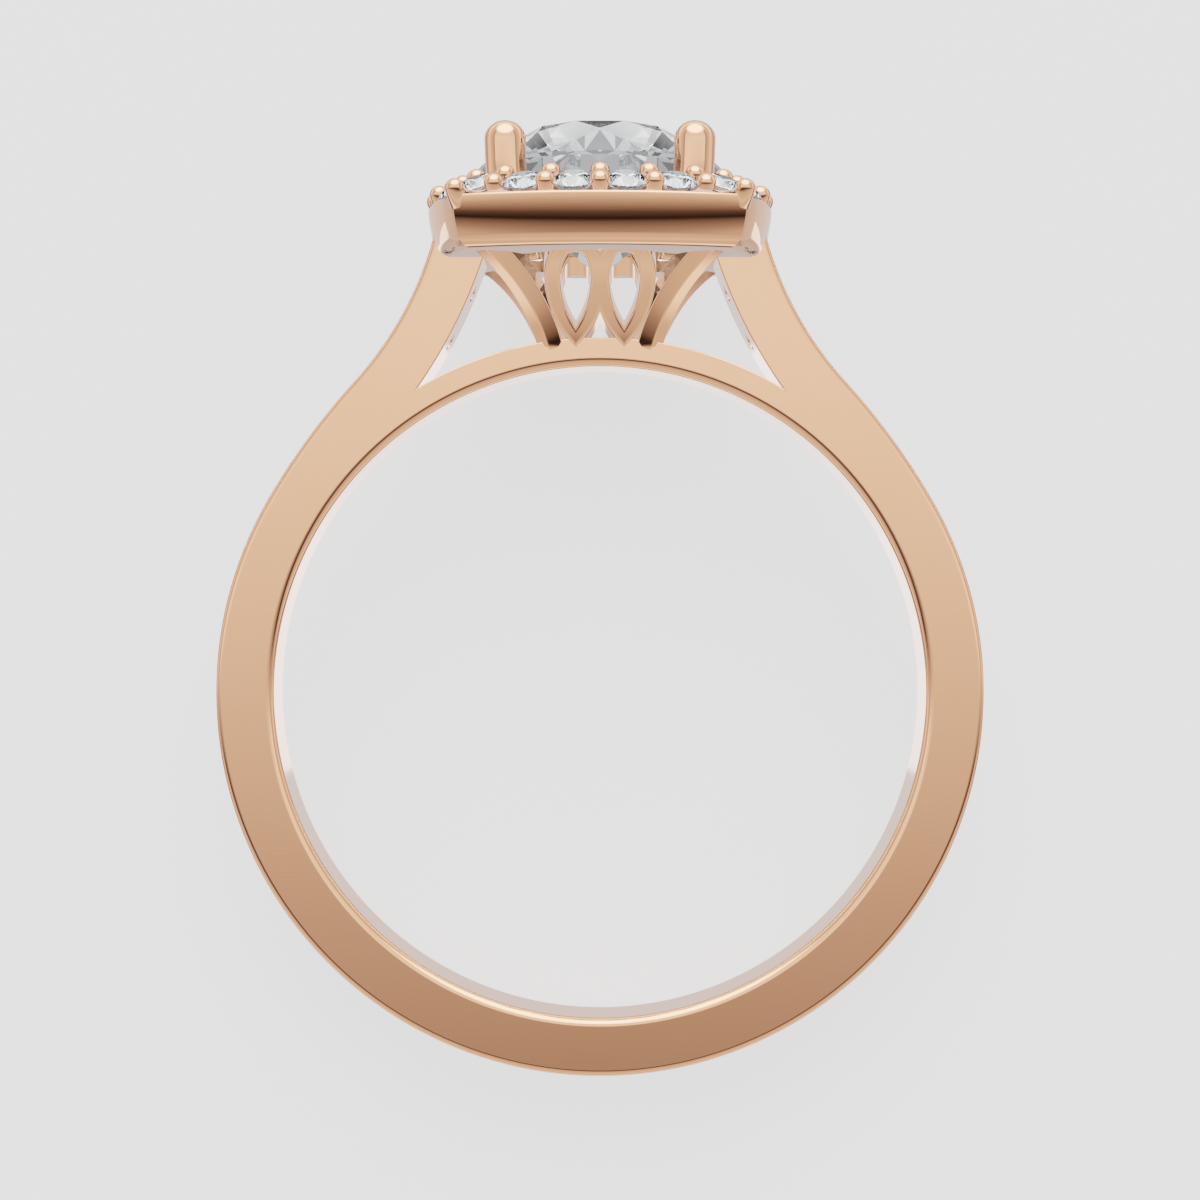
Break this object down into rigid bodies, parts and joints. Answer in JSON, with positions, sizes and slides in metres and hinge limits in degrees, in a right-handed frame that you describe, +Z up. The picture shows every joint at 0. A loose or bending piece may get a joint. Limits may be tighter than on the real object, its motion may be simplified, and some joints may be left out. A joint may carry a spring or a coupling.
{
  "type": "halo ring",
  "caption": "Finger ring with a round centre stone in claws, a cushion-shaped halo of small stones held by beads, a petal gallery and tapering shoulders.",
  "frame": {"origin": "centre of the finger hole, halfway along it", "axes": "+Y points from the finger hole to the head, along the surface; +Z points up from the surface that the ring lies on; +X is across the ring. The finger hole's axis leans off +Z because the head is wider than the band."},
  "size_m": [0.0204, 0.0255, 0.0092],
  "materials": {
    "rose_gold": "polished 14 carat rose gold",
    "diamond": "colourless faceted brilliant"
  },
  "bodies": {
    "root": {"mounting": "rose_gold", "centre_stone": "diamond", "halo_stone_1": "diamond", "halo_stone_2": "diamond", "halo_stone_3": "diamond", "halo_stone_4": "diamond", "halo_stone_5": "diamond", "halo_stone_6": "diamond", "halo_stone_7": "diamond", "halo_stone_8": "diamond", "halo_stone_9": "diamond", "halo_stone_10": "diamond", "halo_stone_11": "diamond", "halo_stone_12": "diamond", "halo_stone_13": "diamond", "halo_stone_14": "diamond", "halo_stone_15": "diamond", "halo_stone_16": "diamond", "halo_stone_17": "diamond", "halo_stone_18": "diamond", "halo_stone_19": "diamond", "halo_stone_20": "diamond", "shoulder_stone_1": "diamond", "shoulder_stone_2": "diamond", "shoulder_stone_3": "diamond", "shoulder_stone_4": "diamond"}
  },
  "joints": []
}
